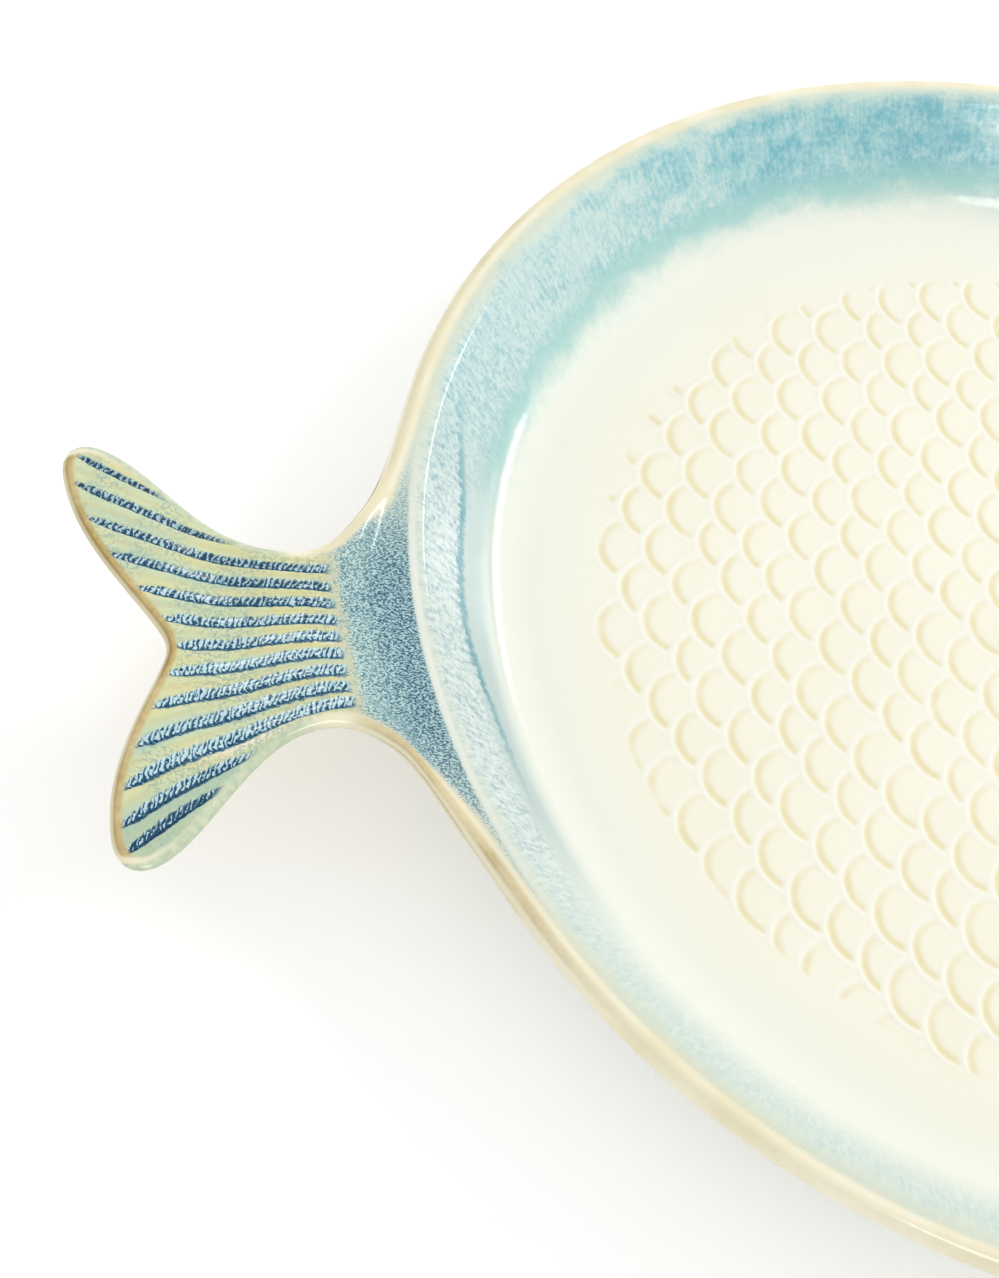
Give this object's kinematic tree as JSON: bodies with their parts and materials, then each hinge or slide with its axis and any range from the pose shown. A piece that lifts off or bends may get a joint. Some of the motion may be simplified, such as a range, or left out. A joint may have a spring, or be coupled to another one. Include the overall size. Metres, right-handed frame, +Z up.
{
  "type": "serving dish",
  "caption": "Round stoneware serving dish with a shallow flared well, a fish-scale relief on its floor and a forked fish-tail handle set into its lip.",
  "frame": {"origin": "middle of the part's box, on the surface that it stands on", "axes": "+X from the tail's tips towards the dish, +Z up out of the well"},
  "size_m": [0.3585, 0.3, 0.0351],
  "materials": {
    "ivory_glaze": "gloss",
    "blue_glaze": "gloss",
    "tail_glaze": "gloss",
    "bare_stoneware": "matte"
  },
  "bodies": {
    "root": {"floor_slab": "ivory_glaze", "rim_wall": "blue_glaze", "tail_handle": "tail_glaze", "foot_ring": "bare_stoneware"}
  },
  "joints": []
}
